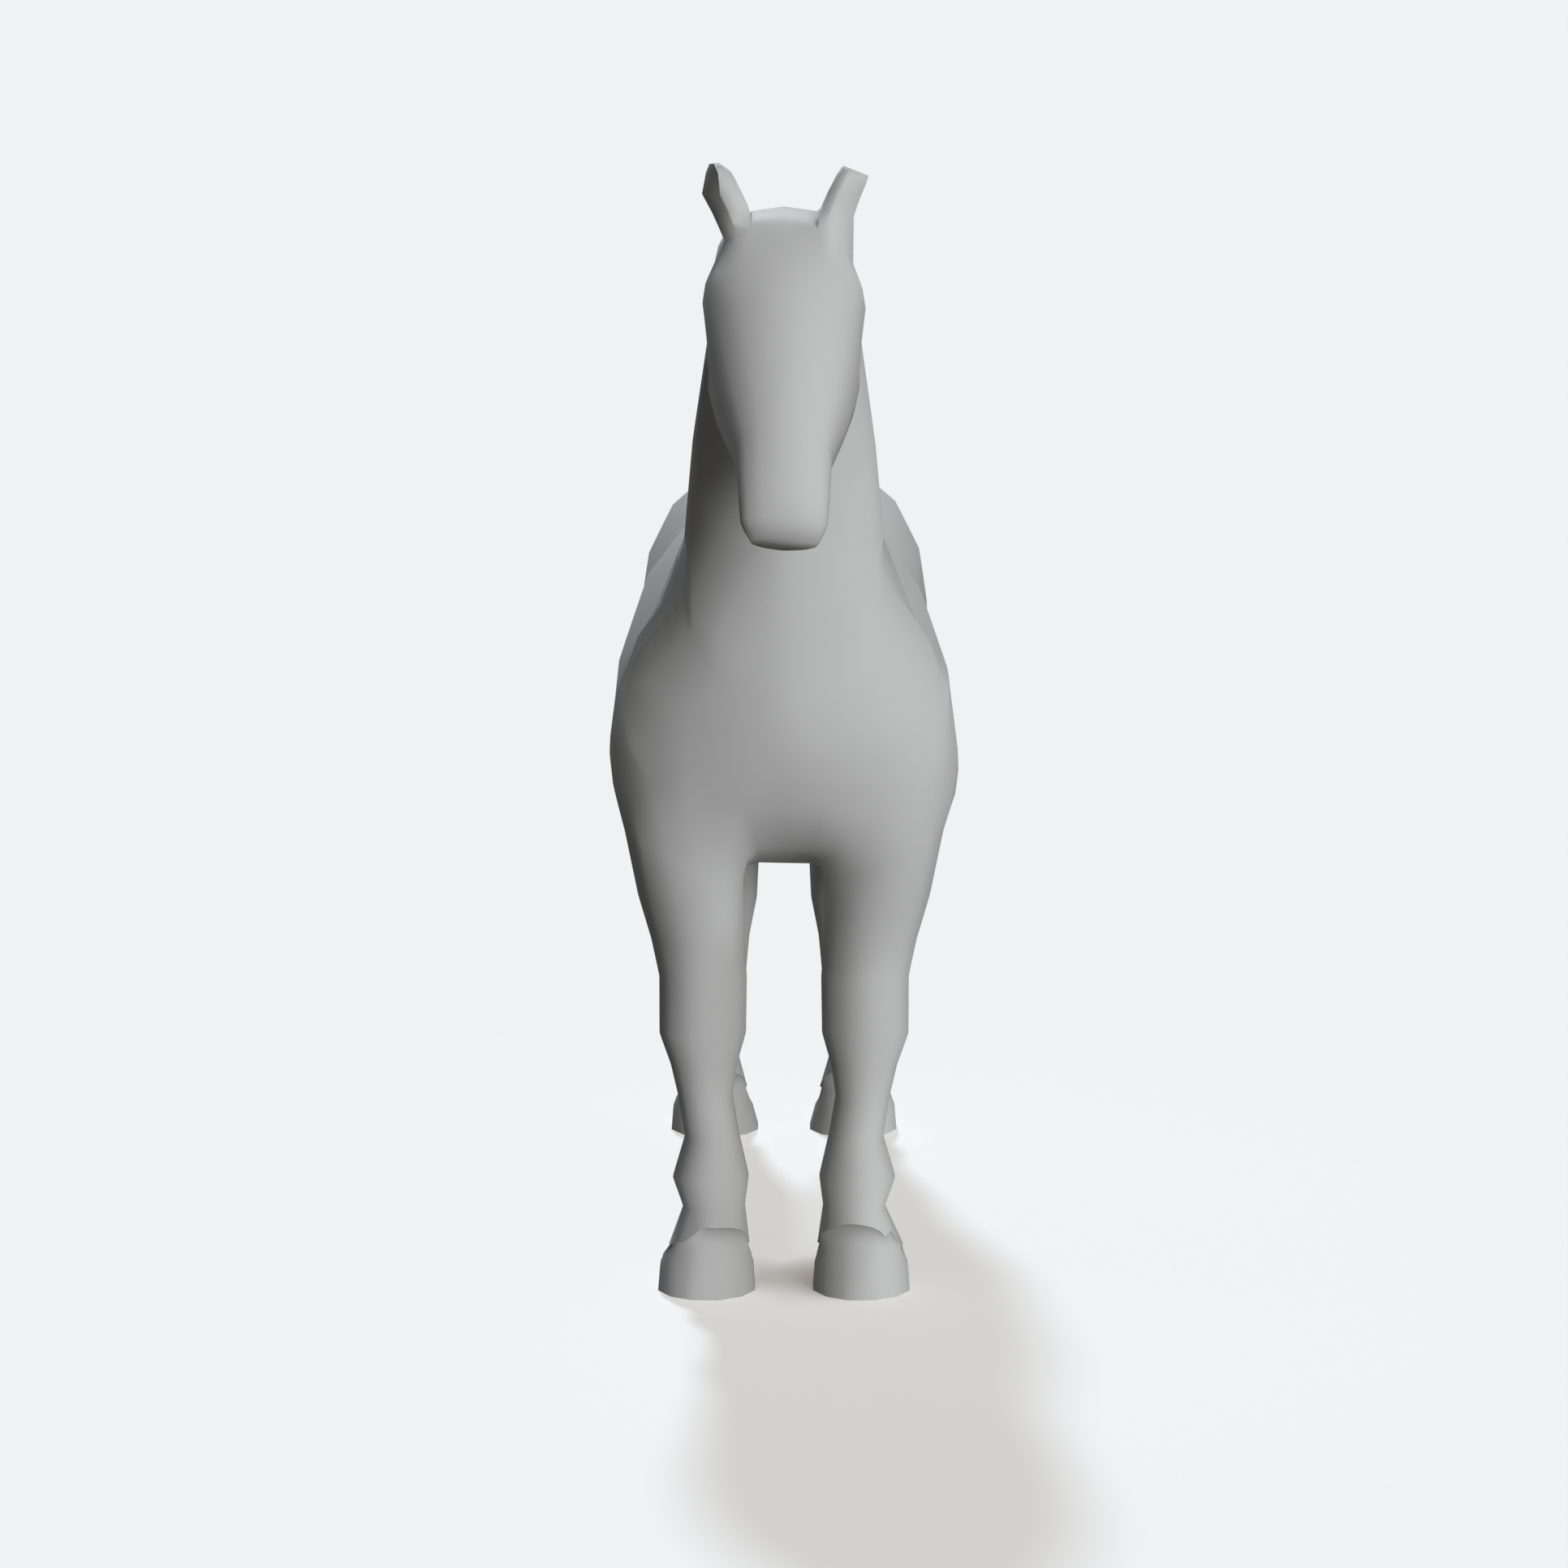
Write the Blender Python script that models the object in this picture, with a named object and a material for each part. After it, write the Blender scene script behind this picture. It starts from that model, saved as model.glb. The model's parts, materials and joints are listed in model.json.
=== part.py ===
"""A geometric horse, cast in one piece and standing on its four hooves.

The body is one closed skin of flat facets. A tube of sixteen-sided bands runs from the buttocks
through the trunk, the neck and the head to the lips. Legs, ears and tail grow out of openings in
that tube, so no seam crosses the casting.

The horse faces -Y, +X is its own left side and +Z is up.
"""

import math
from collections import namedtuple

import bmesh
import bpy
from mathutils import Vector

# Driving sizes, in metres.
HEIGHT = 0.296  # from the ground to the tips of the ears
BODY_LENGTH = 0.220  # from the breast to the buttocks
BODY_WIDTH = 0.0888  # across the shoulders
EAR_LENGTH = 0.0175  # from the skull to the tip
TAIL_LENGTH = 0.106  # from the root down to the tip
HOOF_HEIGHT = 0.0184  # from the ground to the skin's lower edge, in front
CORONET_STEP = 0.0010  # how far the hoof stands out from the skin above it
SKIN_LIP = 0.0005  # how far the skin's lower edge hangs over the hoof

# The figure is drawn in parts: so many parts make its height, its length and its width.
HEIGHT_PARTS = 296
LENGTH_PARTS = 220
WIDTH_PARTS = 88.8

# The corners of a band down one side of the figure, in degrees from its top.
BAND_ANGLES = (0, 24, 51, 71, 90, 115, 141, 171, 180)
BAND_SIDES = 2 * (len(BAND_ANGLES) - 1)
WIDEST_SIDE = 4
INNER_SIDE = 7
LEG_SIDES = 12
HOOF_SIDES = 3 * LEG_SIDES

# A band of the tube. top and bottom are (ahead, up) in the plane of symmetry, half is its half
# width, and widest says how far up from bottom to top it is widest. square is 2 for an ellipse
# and more for a boxier band: (upper half, lower half). roll tips the band sideways, in degrees,
# and hollow draws the middle of its underside back. sweep draws its sides back, and collar is
# (across, up) of the two corners next to the top, on the bands where the neck meets the shoulder.
Band = namedtuple(
    "Band", "name top bottom half widest square roll hollow sweep collar", defaults=(0, 0, ())
)

# A section through a leg. front and rear are (ahead, up), outer and inner are the distances
# from the plane of symmetry. lean says how much higher the outer side is than the inner, and
# sweep how much further ahead.
Section = namedtuple("Section", "name front rear outer inner lean sweep", defaults=(0,))

BODY = (
    Band("buttocks", (-180, 181), (-179.5, 148), 18, 0.50, (2.2, 2.2), 0),
    Band("tail_root", (-170, 191), (-176, 133), 30, 0.50, (2.1, 2.2), 0),
    Band("croup", (-150, 200), (-152, 121), 37, 0.50, (2.0, 2.3), 1),
    Band("hip", (-124, 204.5), (-126, 116), 39.7, 0.50, (2.0, 2.3), -1),
    Band("flank", (-98, 203.5), (-98, 110), 38.5, 0.47, (2.0, 2.2), 0),
    Band("loin", (-72, 200), (-70, 105), 37.5, 0.43, (2.0, 2.1), 1),
    Band("barrel", (-46, 200), (-43, 105.5), 39, 0.38, (2.0, 2.1), 0),
    Band("girth", (-26, 205), (-24, 106.6), 41.6, 0.33, (1.95, 2.1), -1),
    Band("withers", (-7, 213), (4, 111.5), 44.4, 0.27, (1.97, 2.2), 3),
    Band("shoulder", (6, 219), (22, 118.8), 43.7, 0.28, (1.76, 2.2), 2, 2, 2,
         ((16, 211.5), (29.5, 188))),
    Band("brisket", (12, 224), (33.5, 131), 41.2, 0.32, (1.2, 2.2), 1, 0, 5,
         ((15, 215), (26, 189))),
    Band("breast", (18, 231), (37, 150), 36.5, 0.30, (1.0, 2.1), 1, 0, 8,
         ((15, 220), (25.5, 191))),
    Band("neck_foot", (21.5, 236), (37.8, 160), 25, 0.40, (1.8, 2.1), 0, 0, 2),
    Band("neck_base", (25, 241), (38, 170), 24.6, 0.44, (1.7, 2.1), 0),
    Band("neck", (33, 256), (40, 199), 22.4, 0.46, (1.8, 2.1), 1),
    Band("upper_neck", (42, 270), (42, 226), 19.2, 0.48, (1.9, 2.1), -1),
    Band("nape", (52, 283), (44.5, 238), 16.4, 0.62, (2.1, 2.2), 0),
    Band("poll", (61, 284.8), (47, 232), 16.4, 0.70, (2.4, 2.2), 0),
    Band("crown", (70, 281.6), (51, 229.5), 17.2, 0.70, (2.3, 2.1), 1),
    Band("brow", (78, 273.5), (55, 227.5), 19.3, 0.76, (2.7, 2.1), 2),
    Band("eye", (84, 265), (60, 226), 18.0, 0.42, (2.9, 2.2), -1),
    Band("cheek", (90, 251.6), (69, 223), 15.2, 0.42, (2.6, 2.2), -1),
    Band("nose", (97, 236.5), (79, 217.5), 11.3, 0.60, (2.6, 2.3), 0),
    Band("nostril", (102.5, 224), (87, 211.5), 10.6, 0.62, (2.6, 2.4), 0),
    Band("lip", (105, 216.5), (93, 209), 10.1, 0.74, (2.4, 2.4), 2),
    Band("mouth", (103.5, 211.4), (98, 207.8), 8.0, 0.60, (2.2, 1.8), 3),
)

FORELEG = (
    Section("arm", (27, 119), (-20.5, 113), 40.3, 9.0, 14, 3),
    Section("elbow", (18.5, 104), (-20, 101), 37.2, 10.2, 5, 1),
    Section("forearm", (12.5, 93), (-15.5, 91), 34.0, 10.2, 2),
    Section("knee_top", (9.5, 83.5), (-11.5, 82), 32.0, 9.6, 1),
    Section("knee", (10.5, 69), (-9.5, 68), 32.0, 9.8, 0),
    Section("below_knee", (7, 60), (-9, 60), 29.2, 12.1, 0),
    Section("cannon", (6, 51), (-9, 51), 27.2, 13.4, 0),
    Section("low_cannon", (6, 40), (-10, 40), 25.6, 11.6, 0),
    Section("fetlock", (7.5, 30), (-13.5, 28), 28.8, 9.2, 0),
    Section("pastern", (9, 22.5), (-11, 21), 26.0, 10.2, 0),
)

HIND_LEG = (
    Section("thigh", (-103, 112), (-175, 121), 39.4, 9.2, 14),
    Section("stifle", (-111, 98), (-170.5, 106), 35.4, 8.6, 6),
    Section("gaskin", (-127, 88), (-168, 97), 32.0, 7.8, 2),
    Section("hock_top", (-145, 77), (-176, 84), 28.8, 7.3, 0),
    Section("hock", (-151, 68), (-174, 70), 28.0, 7.8, 0),
    Section("cannon", (-154, 57), (-170, 58), 26.6, 10.0, 0),
    Section("low_cannon", (-154, 42), (-169, 42), 26.2, 11.4, 0),
    Section("fetlock", (-152.5, 30), (-172, 28), 29.0, 11.0, 0),
    Section("pastern", (-151, 22), (-170, 20), 27.4, 13.2, 0),
)

# A level of an ear: (across, up from its foot) of its inner and outer edges, its depth from rear
# to front, and how far its inner leaf stands proud of the outer one.
EarLevel = namedtuple("EarLevel", "inner outer depth fold")

# The ear on the -X side shows its fold. The other one is turned away and shows its plain back.
# The ears lean ahead by a share of their height. Shares of their depth say how far the front
# falls back towards the outer edge, and how far behind it the inner edge lies.
EAR_AHEAD = 65.5
EAR_UP = 278
EAR_LEAN = 0.1
EAR_FALL = 0.5
EAR_EDGE = 0.2
FOLDED_EAR = (
    EarLevel((8.0, 5.2), (15.2, 1.6), 7.0, 0),
    EarLevel((8.6, 7.2), (17.0, 5.6), 6.8, 0.5),
    EarLevel((10.1, 10.4), (19.4, 10.0), 6.2, 1.2),
    EarLevel((12.4, 15.2), (18.4, 15.2), 4.8, 1.1),
    EarLevel((15.4, 17.5), (17.6, 17.2), 2.2, 0.5),
)
TURNED_EAR = (
    EarLevel((8.6, 6.4), (16.5, 4.8), 6.8, 0),
    EarLevel((10.4, 10.5), (18.2, 9.7), 5.4, 0),
    EarLevel((12.5, 14.7), (19.4, 12.6), 3.8, 0),
    EarLevel((13.9, 16.8), (19.9, 14.4), 1.4, 0),
)

# A level of the tail: (ahead, down from its root) of its upper or rear side and of its lower or
# front side, and its half width.
TailLevel = namedtuple("TailLevel", "upper lower half")

# The corners round the tail: (across, as a share of its half width, and how far from its upper
# to its lower side).
TAIL_CORNERS = ((-0.7, 0.1), (0, 0), (0.7, 0.1), (1, 0.75), (0, 1), (-1, 0.75))
TAIL_UP = 190
TAIL = (
    TailLevel((-182, 1.5), (-184, 11.5), 5.6),
    TailLevel((-190, 6.5), (-187, 16), 5.8),
    TailLevel((-195.5, 17), (-188, 23), 6.8),
    TailLevel((-199, 36), (-188.5, 38), 8.2),
    TailLevel((-200, 60), (-187.5, 60), 8.8),
    TailLevel((-198, 84), (-187, 83), 7.4),
    TailLevel((-193.5, 106), (-188.5, 103), 3.2),
)

# The stretches of the tube, by the names of their first and last bands, that the limbs grow from.
FORELEG_ROOT = ("girth", "brisket")
HIND_LEG_ROOT = ("tail_root", "flank")
EAR_ROOT = ("poll", "crown")
FOLD_SHARE = 0.52
FOLD_WIDTH = 0.05
FOLDED_EAR_SIDES = (1, 2)
TURNED_EAR_SIDES = (1, 3)
TAIL_ROOT = ("buttocks", "tail_root")

# Where the rings between a leg's root and its first section lie, and how far they stand out.
SHOULDER_SHARES = (0.4, 0.75)
SHOULDER_SWELL = 0.022

# How boxy a leg is at its outer and its inner side, as for a band.
LEG_SQUARE = (2.0, 2.2)

# How often, and how far, the corners round a leg's root are drawn towards their neighbours. The
# corners further out than this share of the body's half width make its outline, and stay.
EASE_ROUNDS = 3
EASE_SHARE = 0.5
OUTLINE_SHARE = 0.8

# A ring of a hoof. middle is how far its middle stands from the plane of symmetry, then come its
# half width and its reach ahead and behind. front, flank and back are its height there, as
# shares of the hoof's height. Each facet of the ring spans so many corners.
HoofRing = namedtuple("HoofRing", "middle half toe heel front flank back facet", defaults=(1,))

FORE_HOOF_AHEAD = 0
HIND_HOOF_AHEAD = -160
SKIN_EDGE = HoofRing(19.4, 10.4, 8.4, 11.5, 1.0, 0.64, 0.52)
CROWN = (0.77, 0.49, 0.40)
WALL = HoofRing(20.05, 12.5, 11.7, 13.5, 0.42, 0.34, 0.30, 3)
SOLE = HoofRing(20.1, 13.0, 12.8, 14.2, 0, 0, 0, 3)

# How much narrower a hind hoof is on its inner side, at its top and at its wall.
HIND_TAPER = (1.8, 1.2)

# How much further the skin's lower edge flares on each side, and how it frays: (degrees from the
# outer side round by the front, parts up).
FLARE = {-1: 0, 1: 0.7}
FRAY = {
    -1: ((0, -0.6), (25, -2.2), (58, -2.9), (84, 0), (96, -0.4), (126, 0.6), (146, 0.9), (180, 0.4)),
    1: ((0, -1.5), (35, -1.4), (45, 0.3), (55, -1.8), (68, -0.1), (105, 1.0), (146, 0.7), (180, 0)),
}


def place(across, ahead, up):
    """A point of the figure, given in parts."""
    return (
        across * BODY_WIDTH / WIDTH_PARTS,
        -ahead * BODY_LENGTH / LENGTH_PARTS,
        up * HEIGHT / HEIGHT_PARTS,
    )


def rounded(value, square):
    """A superellipse's coordinate for the cosine or sine of an angle."""
    return math.copysign(abs(value) ** (2 / square), value)


def band_ring(band):
    """The sixteen corners of a band, from the top down the +X side and up the other."""
    ring = []
    roll = math.radians(band.roll)
    angles = (*BAND_ANGLES, *(360 - angle for angle in BAND_ANGLES[-2:0:-1]))
    for angle in map(math.radians, angles):
        above = math.cos(angle) > 1e-6
        square = band.square[0 if above else 1]
        reach = rounded(math.cos(angle), square)
        share = band.widest + reach * ((1 - band.widest) if above else band.widest)
        across = band.half * rounded(math.sin(angle), square)
        ahead, up = (
            low + share * (high - low) for low, high in zip(band.bottom, band.top)
        )
        if math.cos(angle) < -0.999:
            ahead -= band.hollow
        number = min(len(ring), BAND_SIDES - len(ring))
        if 1 <= number <= len(band.collar):
            out, up = band.collar[number - 1]
            across = math.copysign(out, across)
        ahead -= band.sweep * (across / band.half) ** 2
        ring.append(place(across, ahead, up - across * math.sin(roll)))
    return ring


def leg_angles(sides=LEG_SIDES):
    """The corners round a leg, from the front of its outer side by the front to the inner side."""
    first = math.pi / 4
    return [first + 2 * math.pi * corner / sides for corner in range(sides)]


def section_ring(section, side):
    """The corners of a leg's section."""
    middle = (section.outer + section.inner) / 2
    half = (section.outer - section.inner) / 2 / math.cos(math.pi / LEG_SIDES)
    ring = []
    for angle in leg_angles():
        square = LEG_SQUARE[0 if math.cos(angle) > 0 else 1]
        out, forward = rounded(math.cos(angle), square), rounded(math.sin(angle), square)
        share = (1 + forward) / 2
        ahead, up = (
            back + share * (front - back)
            for back, front in zip(section.rear, section.front)
        )
        ahead += section.sweep * out
        up += section.lean * out / 2
        ring.append(place(side * (middle + half * out), ahead, up))
    return ring


def shoulder_rings(root, first):
    """The rings between the opening a leg grows from and its first section."""
    rings = []
    for share in SHOULDER_SHARES:
        swell = SHOULDER_SWELL * math.sin(math.pi * share)
        ring = []
        for corner, point in zip(root, first):
            across, back, up = corner.co.lerp(Vector(point), share)
            ring.append((across * (1 + swell), back, up))
        rings.append(ring)
    return rings


def fray(angle, side):
    """How far the skin's lower edge runs up from its even line, in parts."""
    turn = math.degrees(angle) % 360
    for (start, low), (end, high) in zip(FRAY[side], FRAY[side][1:]):
        if start <= turn <= end:
            return low + (high - low) * (turn - start) / (end - start)
    return 0


def hoof_rings(ahead, taper, side):
    """The rings of a hoof: the skin's lower edge, the tuck under it, the crown, wall and sole."""
    rise = HOOF_HEIGHT * HEIGHT_PARTS / HEIGHT
    step = CORONET_STEP * WIDTH_PARTS / BODY_WIDTH
    lip = SKIN_LIP * WIDTH_PARTS / BODY_WIDTH
    middle, half, toe, heel, *heights = SKIN_EDGE
    flare = FLARE[side]
    middle, half = middle + taper[0] / 2, half - taper[0] / 2
    edge = HoofRing(middle + flare / 2, half + flare, toe, heel, *heights)
    tuck = edge._replace(half=edge.half - lip, toe=toe - lip, heel=heel - lip)
    crown = HoofRing(middle + step / 2, half + step, toe + step, heel + step, *CROWN, 1)
    wall = WALL._replace(middle=WALL.middle + taper[1] / 2, half=WALL.half - taper[1] / 2)
    rings = []
    for ring, frays in ((edge, 1), (tuck, 1), (crown, 0.5), (wall, 0), (SOLE, 0)):
        points = []
        angles = leg_angles(HOOF_SIDES)
        for number, angle in enumerate(angles):
            first = angles[number - number % ring.facet]
            share = (number % ring.facet) / ring.facet
            facet = 2 * math.pi * ring.facet / HOOF_SIDES
            out, forward = (
                near + share * (far - near)
                for near, far in (
                    (math.cos(first), math.cos(first + facet)),
                    (math.sin(first), math.sin(first + facet)),
                )
            )
            reach, end = (ring.toe, ring.front) if forward > 0 else (ring.heel, ring.back)
            up = rise * (ring.flank + (end - ring.flank) * abs(forward))
            up += frays * fray(angle, side)
            points.append(place(side * (ring.middle + ring.half * out), ahead + reach * forward, up))
        rings.append(points)
    return rings


def ear_rings(levels, side, fronts):
    """The rings of an ear: from its fold along the front to the outer edge, then the rear."""
    stretch = EAR_LENGTH * HEIGHT_PARTS / HEIGHT / FOLDED_EAR[-1].inner[1]
    shares = [number / (fronts - 1) for number in range(fronts)]
    rings = []
    for level in levels:
        ahead = EAR_AHEAD + EAR_LEAN * level.inner[1]
        front, rear = ahead + level.depth / 2, ahead - level.depth / 2
        fold = FOLD_SHARE * shares[1]
        corners = [(fold, front), (fold + FOLD_WIDTH, front - level.fold)]
        fall = EAR_FALL * level.depth
        corners += [(share, front - level.fold - share * fall) for share in shares[1:]]
        corners += [(share, rear) for share in reversed(shares)]
        corners += [(0, front - EAR_EDGE * level.depth)]
        ring = []
        for share, fore in corners:
            across, rise = (
                near + share * (far - near) for near, far in zip(level.inner, level.outer)
            )
            ring.append(place(side * across, fore, EAR_UP + rise * stretch))
        rings.append(ring)
    return rings


def tail_rings():
    """The rings of the tail, each from its upper corner on the -X side round by the other."""
    stretch = TAIL_LENGTH * HEIGHT_PARTS / HEIGHT / TAIL[-1].upper[1]
    rings = []
    for level in TAIL:
        ring = []
        for out, share in TAIL_CORNERS:
            ahead, drop = (
                high + share * (low - high) for high, low in zip(level.upper, level.lower)
            )
            ring.append(place(out * level.half, ahead, TAIL_UP - drop * stretch))
        rings.append(ring)
    return rings


class Skin:
    """The closed skin of the figure, while it is being built."""

    def __init__(self):
        self.mesh = bmesh.new()
        self.names = [band.name for band in BODY]
        self.bands = [
            [self.mesh.verts.new(point) for point in band_ring(band)] for band in BODY
        ]
        self.open = set()
        self.joints = []

    def root(self, stretch, sides, side):
        """Opens the tube over a stretch of bands and sides, and returns the corners round it."""
        first, last = (self.names.index(name) for name in stretch)
        low, high = sides
        for band in range(first, last):
            for number in range(low, high):
                self.open.add((band, self.wrap(number, side, wide=1)))
        path = [(last, number) for number in range(low, high + 1)]
        path += [(band, high) for band in range(last - 1, first - 1, -1)]
        path += [(first, number) for number in range(high - 1, low - 1, -1)]
        path += [(band, low) for band in range(first + 1, last)]
        return [self.bands[band][self.wrap(number, side)] for band, number in path]

    def underside(self, stretch):
        """The corners along the middle of the underside, over a stretch of bands."""
        first, last = (self.names.index(name) for name in stretch)
        return [ring[BAND_SIDES // 2] for ring in self.bands[first:last + 1]]

    @staticmethod
    def wrap(number, side, wide=0):
        """The band's corner, or face, of that number on one side of the plane of symmetry."""
        return (number if side > 0 else -number - wide) % BAND_SIDES

    def close_tube(self):
        """Makes the faces of the tube that no limb has opened, and closes its two ends."""
        for band in range(len(self.bands) - 1):
            for number in range(BAND_SIDES):
                if (band, number) in self.open:
                    continue
                after = (number + 1) % BAND_SIDES
                here, ahead = self.bands[band], self.bands[band + 1]
                self.mesh.faces.new((here[number], here[after], ahead[after], ahead[number]))
        for ring in (self.bands[0], self.bands[-1]):
            self.cap(ring)

    def cap(self, ring):
        """Closes a ring with a fan round its middle."""
        middle = self.mesh.verts.new(sum((v.co for v in ring), ring[0].co * 0) / len(ring))
        for number, corner in enumerate(ring):
            self.mesh.faces.new((corner, ring[(number + 1) % len(ring)], middle))

    def grow(self, root, rings, flat_end=False):
        """Joins rings of corners one after another to the corners round an opening.

        A ring has as many corners as the one before it, or some times as many.
        """
        grown = [root]
        for points in rings:
            last, ring = grown[-1], [self.mesh.verts.new(point) for point in points]
            times = len(ring) // len(last)
            for number, corner in enumerate(last):
                along = [ring[(times * number + more) % len(ring)] for more in range(times + 1)]
                self.mesh.faces.new((corner, last[(number + 1) % len(last)], *reversed(along)))
            grown.append(ring)
        if flat_end:
            self.mesh.faces.new(grown[-1])
        else:
            self.cap(grown[-1])
        return grown

    def ease_joints(self):
        """Softens the corners where the legs leave the trunk."""
        reach = OUTLINE_SHARE * BODY_WIDTH / 2
        corners = [v for v in set(self.joints) if abs(v.co.x) < reach]
        corners.sort(key=lambda v: v.index)
        for _ in range(EASE_ROUNDS):
            bmesh.ops.smooth_vert(
                self.mesh, verts=corners, factor=EASE_SHARE,
                use_axis_x=True, use_axis_y=True, use_axis_z=True,
            )

    def finish(self):
        """Drops the corners that the openings left loose and turns every face outwards."""
        loose = [v for v in self.mesh.verts if not v.link_faces]
        bmesh.ops.delete(self.mesh, geom=loose, context="VERTS")
        bmesh.ops.triangulate(self.mesh, faces=self.mesh.faces[:], quad_method="SHORT_EDGE")
        bmesh.ops.recalc_face_normals(self.mesh, faces=self.mesh.faces[:])


def grow_legs(skin):
    for side in (1, -1):
        for sections, stretch, hoof, taper in (
            (FORELEG, FORELEG_ROOT, FORE_HOOF_AHEAD, (0, 0)),
            (HIND_LEG, HIND_LEG_ROOT, HIND_HOOF_AHEAD, HIND_TAPER),
        ):
            root = skin.root(stretch, (WIDEST_SIDE, INNER_SIDE), side)
            rings = [section_ring(section, side) for section in sections]
            rings = shoulder_rings(root, rings[0]) + rings + hoof_rings(hoof, taper, side)
            grown = skin.grow(root, rings, flat_end=True)
            skin.joints += sum(grown[:len(SHOULDER_SHARES) + 2], skin.underside(stretch))


def open_ears(skin):
    """Opens the skull for both ears and returns what each grows from."""
    return [
        (TURNED_EAR, 1, skin.root(EAR_ROOT, TURNED_EAR_SIDES, 1)),
        (FOLDED_EAR, -1, skin.root(EAR_ROOT, FOLDED_EAR_SIDES, -1)),
    ]


def grow_ears(skin, ears):
    for levels, side, root in ears:
        fronts = len(root) // 2
        edge = skin.mesh.edges.get(root[:2])
        edge, leaf = bmesh.utils.edge_split(edge, root[0], FOLD_SHARE)
        edge = skin.mesh.edges.get((leaf, root[1]))
        step = bmesh.utils.edge_split(edge, leaf, FOLD_WIDTH)[1]
        skin.grow([leaf, step, *root[1:], root[0]], ear_rings(levels, side, fronts))


def grow_tail(skin):
    first, last = (skin.names.index(name) for name in TAIL_ROOT)
    for side in (1, -1):
        skin.open.add((first, skin.wrap(0, side, wide=1)))
    rear, front = skin.bands[first], skin.bands[last]
    root = (front[-1], front[0], front[1], rear[1], rear[0], rear[-1])
    skin.grow(root, tail_rings())


def build_horse():
    skin = Skin()
    grow_legs(skin)
    ears = open_ears(skin)
    grow_tail(skin)
    skin.close_tube()
    skin.ease_joints()
    grow_ears(skin, ears)
    skin.finish()
    mesh = bpy.data.meshes.new("horse")
    skin.mesh.to_mesh(mesh)
    skin.mesh.free()
    centre_on_ground(mesh)
    mesh.shade_smooth()
    return mesh


def centre_on_ground(mesh):
    """Puts the origin under the middle of the figure's box."""
    low, high = (
        [pick(v.co[axis] for v in mesh.vertices) for axis in range(3)] for pick in (min, max)
    )
    for vertex in mesh.vertices:
        vertex.co.x -= (low[0] + high[0]) / 2
        vertex.co.y -= (low[1] + high[1]) / 2
        vertex.co.z -= low[2]


def cast_resin():
    """The matt grey of the casting."""
    material = bpy.data.materials.new("cast_resin")
    material.use_nodes = True
    shader = material.node_tree.nodes["Principled BSDF"]
    shader.inputs["Base Color"].default_value = (0.42, 0.43, 0.42, 1)
    shader.inputs["Roughness"].default_value = 0.75
    shader.inputs["Metallic"].default_value = 0.0
    return material


def main():
    for old in list(bpy.data.objects):
        bpy.data.objects.remove(old)
    horse = bpy.data.objects.new("horse", build_horse())
    horse.data.materials.append(cast_resin())
    bpy.context.scene.collection.objects.link(horse)


main()
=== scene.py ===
import json
import math

import bmesh
import bpy
import numpy as np
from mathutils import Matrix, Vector


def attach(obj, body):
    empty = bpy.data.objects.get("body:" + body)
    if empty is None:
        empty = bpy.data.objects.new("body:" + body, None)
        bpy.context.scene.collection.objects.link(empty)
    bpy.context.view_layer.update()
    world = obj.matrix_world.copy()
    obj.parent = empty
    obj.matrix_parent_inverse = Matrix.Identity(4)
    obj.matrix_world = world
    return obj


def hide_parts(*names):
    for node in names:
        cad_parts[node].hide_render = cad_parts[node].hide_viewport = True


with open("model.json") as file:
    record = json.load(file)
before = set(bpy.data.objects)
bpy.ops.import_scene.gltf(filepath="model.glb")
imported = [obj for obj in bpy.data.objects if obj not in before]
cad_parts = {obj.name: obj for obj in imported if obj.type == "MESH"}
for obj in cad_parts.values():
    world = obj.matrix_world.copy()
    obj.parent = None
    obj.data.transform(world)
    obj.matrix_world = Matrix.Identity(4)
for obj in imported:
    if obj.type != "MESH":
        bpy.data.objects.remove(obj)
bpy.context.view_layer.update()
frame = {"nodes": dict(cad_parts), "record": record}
record = frame["record"]


# The camera looks at the horse from straight in front and a little above.
camera = {
    "distance": 1.258,  # from the front hooves, level
    "height": 0.3813,
    "pitch": 11.16,  # degrees down
    "lens": 115.53,
    "sensor": 36,
    "nearest": 0.05,
    "farthest": 60,
}


def hoofLine():
    soles = [mount["pos_m"] for mount in record["mounts"]]
    return min(sole[1] for sole in soles)  # the front hooves stand at the smaller y


def makeCamera():
    data = bpy.data.cameras.new("frontCamera")
    data.lens = camera["lens"]
    data.sensor_width = camera["sensor"]
    data.clip_start = camera["nearest"]
    data.clip_end = camera["farthest"]
    eye = bpy.data.objects.new("frontCamera", data)
    eye.location = (0, hoofLine() - camera["distance"], camera["height"])
    eye.rotation_euler = (math.radians(90 - camera["pitch"]), 0, 0)
    bpy.context.scene.collection.objects.link(eye)
    bpy.context.scene.camera = eye
    print("camera made")


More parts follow.
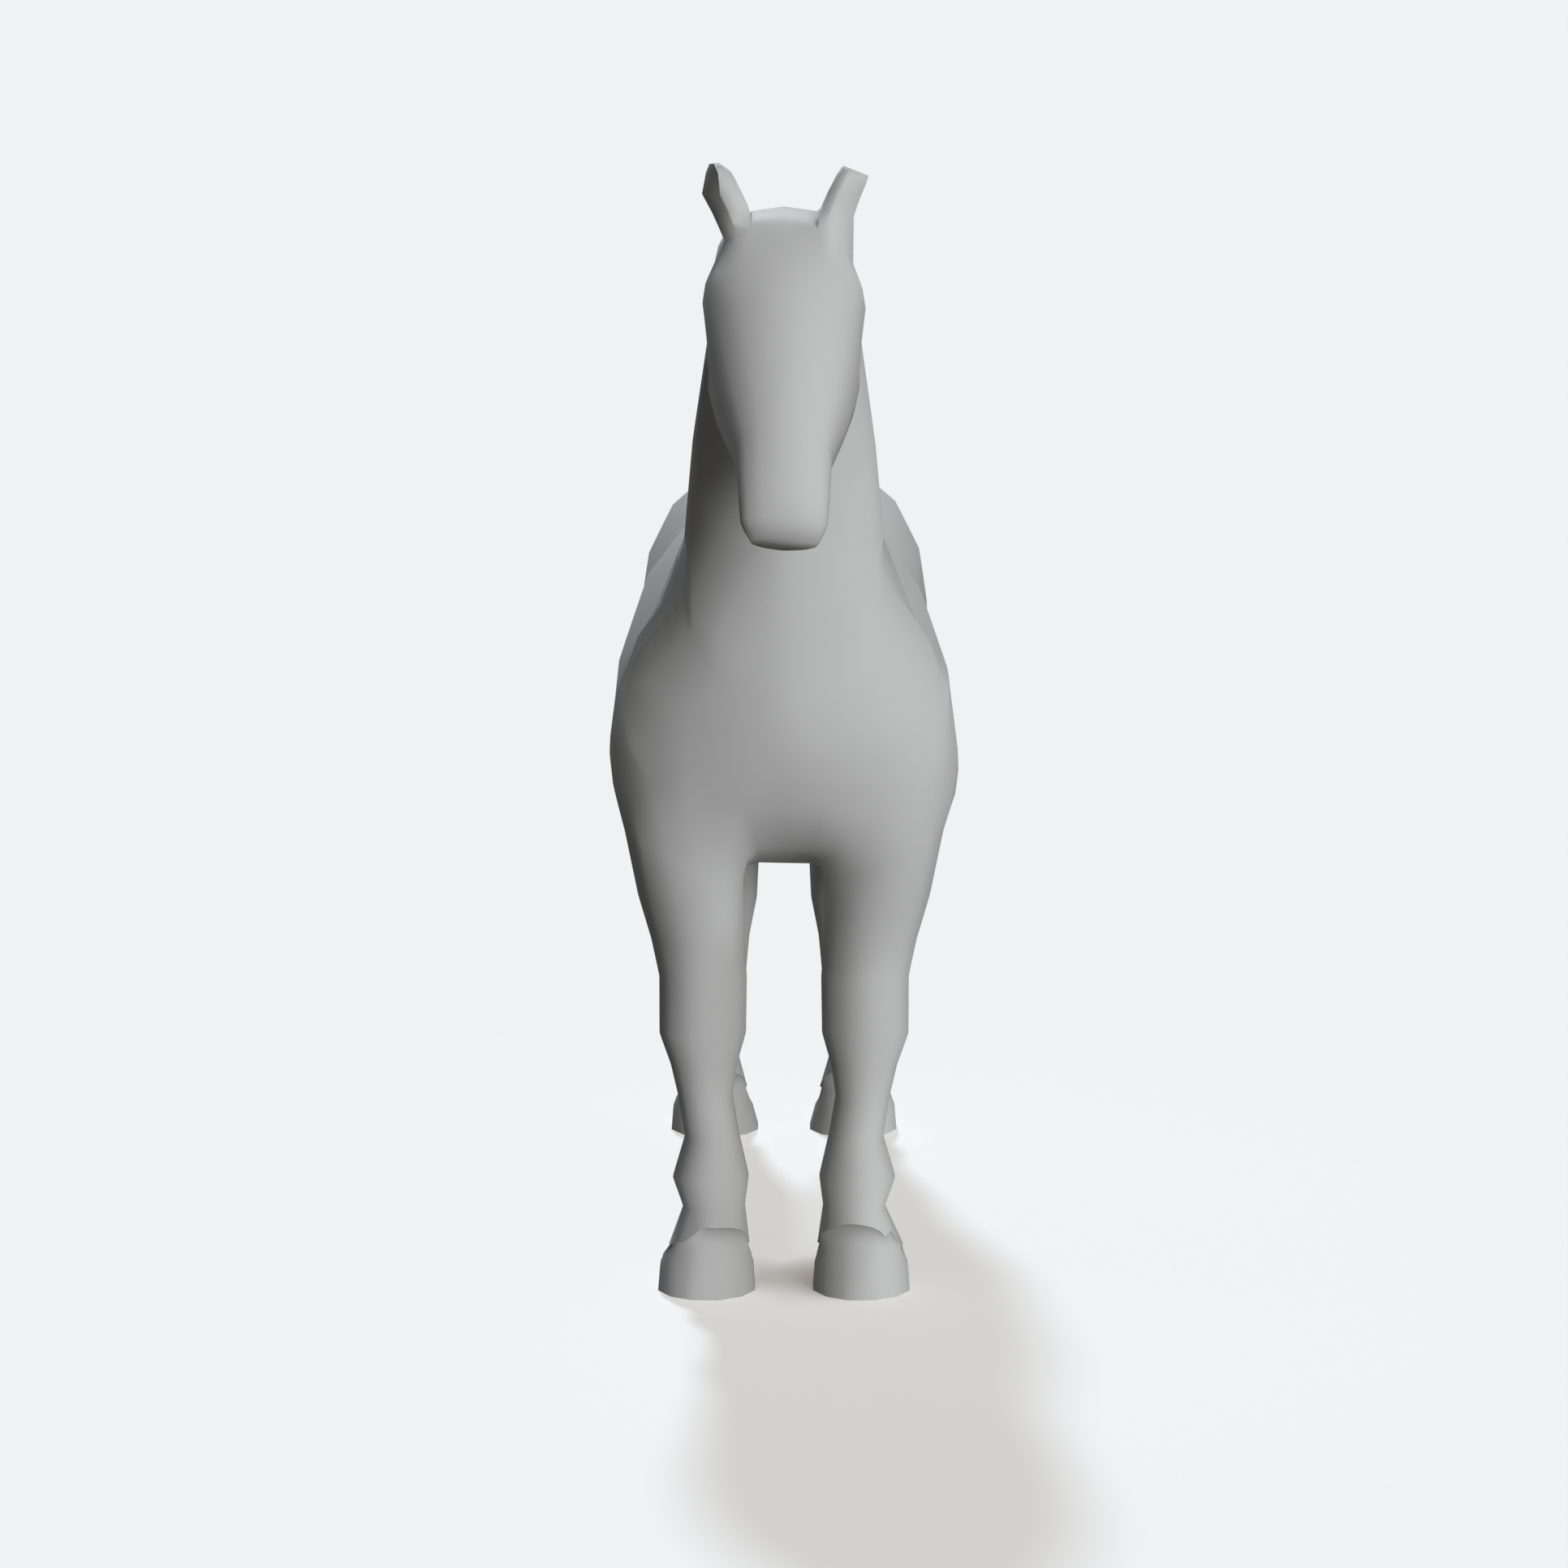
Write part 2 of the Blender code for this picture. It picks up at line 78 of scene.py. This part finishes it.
# A socket of a material, so that its maths reads as plain expressions.
class Wire:
    def __init__(self, sheet, socket):
        self.sheet = sheet
        self.socket = socket

    def join(self, operation, first, second):
        return self.sheet.add("ShaderNodeMath", {"operation": operation}, {0: first, 1: second})

    def __add__(self, other):
        return self.join("ADD", self, other)

    def __sub__(self, other):
        return self.join("SUBTRACT", self, other)

    def __rsub__(self, other):
        return self.join("SUBTRACT", other, self)

    def __mul__(self, other):
        return self.join("MULTIPLY", self, other)

    def __pow__(self, other):
        return self.join("POWER", self, other)

    def __abs__(self):
        return self.join("ABSOLUTE", self, 0.0)

    def clamped(self):
        settings = {"operation": "ADD", "use_clamp": True}
        return self.sheet.add("ShaderNodeMath", settings, {0: self, 1: 0.0})

    def ramp(self, low, high, start=0.0, end=1.0):
        return self.sheet.add(
            "ShaderNodeMapRange",
            {"interpolation_type": "SMOOTHSTEP"},
            {"Value": self, "From Min": low, "From Max": high, "To Min": start, "To Max": end},
        )


# The sockets for colours of a mix node, which has others by the same names.
mixFirst, mixSecond, mixResult = 6, 7, 2


# A material and its nodes.
class Sheet:
    def __init__(self, name):
        self.material = bpy.data.materials.new(name)
        self.material.use_nodes = True
        self.tree = self.material.node_tree
        self.shader = self.tree.nodes["Principled BSDF"]
        self.spot = self.add("ShaderNodeTexCoord", {}, {}, "Object")

    def add(self, kind, settings, sockets, result=0):
        node = self.tree.nodes.new(kind)
        for name, value in settings.items():
            setattr(node, name, value)
        self.feed(node, sockets)
        return Wire(self, node.outputs[result])

    def feed(self, node, sockets):
        for name, value in sockets.items():
            socket = node.inputs[name]
            if isinstance(value, Wire):
                self.tree.links.new(value.socket, socket)
            else:
                socket.default_value = (*value, 1) if socket.type == "RGBA" else value

    def along(self, axis):
        return self.add("ShaderNodeSeparateXYZ", {}, {"Vector": self.spot}, axis)

    def noise(self, size, detail, rough=0.5):
        return self.add(
            "ShaderNodeTexNoise",
            {},
            {"Vector": self.spot, "Scale": 1 / size, "Detail": detail, "Roughness": rough},
        )

    def blend(self, share, first, second):
        sockets = {"Factor": share, mixFirst: first, mixSecond: second}
        return self.add("ShaderNodeMix", {"data_type": "RGBA"}, sockets, mixResult)


# Matt cast resin: neutral grey, a little uneven in tone, with a fine grain and a few pinholes.
# It also carries painted shade in its hollows and on the sides of the legs that face each other.
resin = {
    "tone": (0.500, 0.505, 0.504),
    "pale": (0.545, 0.548, 0.543),  # rubbed arrises
    "hollowShade": (0.440, 0.440, 0.432),  # painted shade in the hollows
    "inner": (0.375, 0.375, 0.367),  # painted shade on the sides of the legs that face each other
    "innerAcross": (0.011, 0.024),  # metres from the middle, from full to none
    "innerHeight": (0.085, 0.105),
    "rubbedRelief": (0.8, 2.4),  # the relief from which a mark shows and at which it is full
    "rubbedShare": 0.7,
    "rubbedSmoother": 0.12,
    "hollowRelief": (0.6, 2.0),
    "hollowShare": 0.75,
    "hollowRougher": 0.08,
    "cloudSize": 0.055,
    "cloudDetail": 3,
    "cloudSpread": 0.40,
    "grainSize": 0.0007,
    "grainDetail": 3,
    "grainRough": 0.65,
    "grainSpread": 0.40,
    "grainRougher": 0.16,
    "grainDepth": 0.00003,
    "pinholeGap": 0.0065,
    "pinholeRadius": 0.028,  # share of the gap
    "pinholeShare": 0.5,
    "pinholeDepth": 0.00012,  # metres, as grainDepth is
    "roughness": 0.66,
    "specular": 0.32,
}


def castResin():
    sheet = Sheet("castResin")
    relief = sheet.add("ShaderNodeAttribute", {"attribute_name": "relief"}, {}, "Fac")
    rubbed = relief.ramp(*resin["rubbedRelief"])
    hollow = (relief * -1).ramp(*resin["hollowRelief"])
    cloud = sheet.noise(resin["cloudSize"], resin["cloudDetail"]) - 0.5
    grain = sheet.noise(resin["grainSize"], resin["grainDetail"], resin["grainRough"]) - 0.5
    cell = sheet.add(
        "ShaderNodeTexVoronoi",
        {"feature": "F1"},
        {"Vector": sheet.spot, "Scale": 1 / resin["pinholeGap"], "Randomness": 1.0},
    )
    pinhole = cell.ramp(0, resin["pinholeRadius"], 1, 0)

    unevenness = cloud * resin["cloudSpread"]
    light = rubbed * resin["rubbedShare"] + unevenness + grain * resin["grainSpread"]
    # darker: painted shade in the hollows, the real pinholes, and the uneven tone
    dark = hollow * resin["hollowShare"] + pinhole * resin["pinholeShare"] - unevenness
    # painted shade: darker near the middle and low down, on the sides of the legs that face each
    # other
    inner = 1 - abs(sheet.along("X")).ramp(*resin["innerAcross"])
    inner *= 1 - sheet.along("Z").ramp(*resin["innerHeight"])
    colour = sheet.blend(light.clamped(), resin["tone"], resin["pale"])
    colour = sheet.blend(dark.clamped(), colour, resin["hollowShade"])
    colour = sheet.blend(inner, colour, resin["inner"])

    height = grain * resin["grainDepth"] - pinhole * resin["pinholeDepth"]
    roughness = resin["roughness"] - rubbed * resin["rubbedSmoother"]
    roughness += hollow * resin["hollowRougher"] + grain * resin["grainRougher"]
    sheet.feed(sheet.shader, {
        "Base Color": colour,
        "Roughness": roughness,
        "Normal": sheet.add("ShaderNodeBump", {}, {"Height": height, "Distance": 1.0}),
        "Specular IOR Level": resin["specular"],
    })
    return sheet.material


# The horse's skin. Its outline keeps the figure's straight runs and blunt corners, while its
# shading flows across them, as on a casting that has been rubbed down.
skin = {
    "weld": 0.00001,  # corners nearer to each other than this are one
    "crispAngle": 83,  # degrees between two facets whose edge stays crisp
    "fineAngle": 50,  # the same at the hooves, below this height
    "fineHeight": 0.03,
    "joinAngle": 35,  # two triangles that bend by less are one facet
    "shapeAngle": 60,  # how far a joined facet's corners may be from square
    "levels": 2,
    "flowRounds": 2,  # how often the shading is eased from corner to corner
    "flowShare": 0.5,
    "rubRounds": 2,  # how often the arrises are rubbed down
    "rubShare": 0.5,
    "rubKept": 0.15,  # how much of that shows in the form, and not only in the tone
    "reliefDepth": 0.00035,  # how much was rubbed off where an arris has its full mark
    "ground": 0.0002,  # the soles lie below this height and are left flat
}


def isCrisp(edge):
    fine = all(corner.co.z < skin["fineHeight"] for corner in edge.verts)
    angle = math.radians(skin["fineAngle" if fine else "crispAngle"])
    return edge.is_convex and edge.calc_face_angle(0) > angle  # a hollow's shading flows


def coarseSkin(node):
    rough = bmesh.new()
    rough.from_mesh(node.data)
    bmesh.ops.remove_doubles(rough, verts=rough.verts[:], dist=skin["weld"])
    bmesh.ops.join_triangles(
        rough,
        faces=rough.faces[:],
        angle_face_threshold=math.radians(skin["joinAngle"]),
        angle_shape_threshold=math.radians(skin["shapeAngle"]),
    )
    crisp = [edge for edge in rough.edges if isCrisp(edge)]
    bmesh.ops.split_edges(rough, edges=crisp)
    rough.normal_update()
    mesh = bpy.data.meshes.new("coarseSkin")
    rough.to_mesh(mesh)
    rough.free()
    return mesh


def columns(items, field, width):
    values = np.empty(len(items) * width)
    items.foreach_get(field, values)
    return values.reshape(-1, width)


def neighbourMean(values, edges):
    total = np.zeros_like(values)
    count = np.zeros((len(values), 1))
    for here, there in (edges.T, edges.T[::-1]):
        np.add.at(total, here, values[there])
        np.add.at(count, here, 1)
    return total / np.maximum(count, 1)


def unit(vectors):
    return vectors / np.maximum(np.linalg.norm(vectors, axis=1, keepdims=True), 1e-12)


def flowAttribute(mesh):
    flow = columns(mesh.vertices, "normal", 3)
    edges = columns(mesh.edges, "vertices", 2).astype(int)
    for _ in range(skin["flowRounds"]):
        flow = unit(flow + skin["flowShare"] * (unit(neighbourMean(flow, edges)) - flow))
    mark = mesh.attributes.new("flow", "FLOAT_VECTOR", "POINT")
    mark.data.foreach_set("vector", flow.astype(np.float32).ravel())


def subdivided(mesh):
    piece = bpy.data.objects.new("subdivided", mesh)
    bpy.context.scene.collection.objects.link(piece)
    modifier = piece.modifiers.new("finer", "SUBSURF")
    modifier.subdivision_type = "SIMPLE"
    modifier.levels = modifier.render_levels = skin["levels"]
    finer = bpy.data.meshes.new_from_object(
        piece.evaluated_get(bpy.context.evaluated_depsgraph_get())
    )
    bpy.data.objects.remove(piece)
    return finer


# Joins the corners that lie on each other again, and keeps each face's own shading.
def welded(finer):
    spots = columns(finer.vertices, "co", 3)
    flow = unit(columns(finer.attributes["flow"].data, "vector", 3))
    keys = np.round(spots / skin["weld"]).astype(int)
    _, first, joined = np.unique(keys, axis=0, return_index=True, return_inverse=True)
    joined = joined.ravel()
    faces = [list(face.vertices) for face in finer.polygons]
    mesh = bpy.data.meshes.new("castHorse")
    mesh.from_pydata(spots[first], [], [[joined[corner] for corner in face] for face in faces])
    turned = flow[np.concatenate(faces)]
    crisp = np.bincount(joined) > 1
    return mesh, turned, crisp


def rubDown(mesh, held):
    spots = columns(mesh.vertices, "co", 3)
    edges = columns(mesh.edges, "vertices", 2).astype(int)
    upright = columns(mesh.vertices, "normal", 3)
    held = held | (spots[:, 2] < skin["ground"])
    rubbed = spots.copy()
    for _ in range(skin["rubRounds"]):
        eased = rubbed + skin["rubShare"] * (neighbourMean(rubbed, edges) - rubbed)
        rubbed = np.where(held[:, None], rubbed, eased)
    mesh.vertices.foreach_set("co", (spots + skin["rubKept"] * (rubbed - spots)).ravel())
    mesh.update()
    return ((spots - rubbed) * upright).sum(axis=1) / skin["reliefDepth"]


def makeHorse():
    coarse = coarseSkin(frame["nodes"]["horse"])
    flowAttribute(coarse)
    mesh, turned, crisp = welded(subdivided(coarse))
    relief = rubDown(mesh, crisp)
    mesh.normals_split_custom_set(turned)
    mark = mesh.attributes.new("relief", "FLOAT", "POINT")
    mark.data.foreach_set("value", relief.astype(np.float32))
    horse = bpy.data.objects.new("castHorse", mesh)
    bpy.context.scene.collection.objects.link(horse)
    horse.data.materials.append(castResin())
    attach(horse, "root")
    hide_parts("horse")
    triangles = sum(len(face.vertices) - 2 for face in horse.data.polygons)
    print("horse made:", len(coarse.polygons), "facets,", triangles, "triangles")
    return horse


# The room: one pale floor that runs out of the picture. It glows a little by itself, so that it
# stays even, and a painted contact shadow darkens it only between the front hooves.
room = {
    "reach": 40,
    "tone": (0.558, 0.574, 0.606),
    "glow": (0.593, 0.586, 0.572),
    "contactShadeTone": (0.10, 0.06, 0.02),  # the painted contact shadow's colour, where a hoof crowds the glow
    "nearReach": 0.018,
    "nearSamples": 8,
    "nearPower": 2.3,
    "nearSide": (0.38, -0.83, 0.41),  # towards the light that the hooves keep off
    "nearLeft": (-0.014, -0.004),  # the back lamp fills that shade outside these bounds
    "nearRight": (0.020, 0.030),
    "nearBehind": (-0.010, 0.010),
    "sky": (0.082, 0.079, 0.074),
}


def paleFloor():
    sheet = Sheet("paleFloor")
    towards = dict(zip("XYZ", room["nearSide"]))
    openness = sheet.add(
        "ShaderNodeAmbientOcclusion",
        {"samples": room["nearSamples"]},
        {
            "Distance": room["nearReach"],
            "Normal": sheet.add("ShaderNodeCombineXYZ", {}, towards),
        },
        "AO",
    )
    across, along = sheet.along("X"), sheet.along("Y")
    shaded = across.ramp(*room["nearLeft"]) * (1 - across.ramp(*room["nearRight"]))
    shaded *= 1 - along.ramp(*room["nearBehind"])
    # painted contact shadow: the glow darkens where the hooves close in, between the front
    # hooves
    contactShade = (1 - openness ** room["nearPower"]) * shaded
    sheet.feed(sheet.shader, {
        "Base Color": room["tone"],
        "Roughness": 1.0,
        "Specular IOR Level": 0.0,
        "Emission Color": sheet.blend(contactShade, room["glow"], room["contactShadeTone"]),
        "Emission Strength": 1.0,
    })
    return sheet.material


def makeFloor():
    mesh = bpy.data.meshes.new("floor")
    reach = room["reach"]
    corners = [(-reach, -reach, 0), (reach, -reach, 0), (reach, reach, 0), (-reach, reach, 0)]
    mesh.from_pydata(corners, [], [(0, 1, 2, 3)])
    mesh.materials.append(paleFloor())
    floor = bpy.data.objects.new("floor", mesh)
    bpy.context.scene.collection.objects.link(floor)
    floor.visible_diffuse = False
    floor.visible_glossy = False
    print("floor made")


def makeSky():
    world = bpy.data.worlds.new("dimRoom")
    world.use_nodes = True
    world.node_tree.nodes["Background"].inputs["Color"].default_value = (*room["sky"], 1)
    bpy.context.scene.world = world
    print("sky made")


# Lamps. The back one, cooler, throws the horse's shadow towards the camera. The others light the
# horse alone. Angles are in degrees, and turn is from straight in front to the horse's left.
lamps = {
    "frontHigh": {
        "turn": 27, "rise": 18.5, "angle": 34, "strength": 2.38, "colour": (0.99, 1.0, 1.0),
    },
    "frontLow": {
        "turn": 60, "rise": 1, "angle": 34, "strength": 1.10, "colour": (0.99, 1.0, 1.0),
    },
    "back": {
        "turn": 188.7, "rise": 43, "angle": 6.5, "strength": 2.00, "colour": (0.955, 1.0, 1.06),
    },
    "backFill": {
        "turn": 216, "rise": 40, "angle": 16, "strength": 0.58, "colour": (0.90, 1.0, 1.10),
    },
}
horseOnly = ("frontHigh", "frontLow", "backFill")


def makeLamps(horse):
    lit = bpy.data.collections.new("litAlone")
    lit.objects.link(horse)
    for name, lamp in lamps.items():
        data = bpy.data.lights.new(name, "SUN")
        data.energy = lamp["strength"]
        data.color = lamp["colour"]
        data.angle = math.radians(lamp["angle"])
        light = bpy.data.objects.new(name, data)
        turn, rise = math.radians(lamp["turn"]), math.radians(lamp["rise"])
        towards = Vector((
            math.sin(turn) * math.cos(rise), -math.cos(turn) * math.cos(rise), math.sin(rise)
        ))
        light.rotation_euler = towards.to_track_quat("Z", "Y").to_euler()
        bpy.context.scene.collection.objects.link(light)
        if name in horseOnly:
            light.light_linking.receiver_collection = lit
    print("lamps made")


makeCamera()
makeFloor()
makeSky()
makeLamps(makeHorse())
bpy.context.scene.view_settings.view_transform = "Standard"
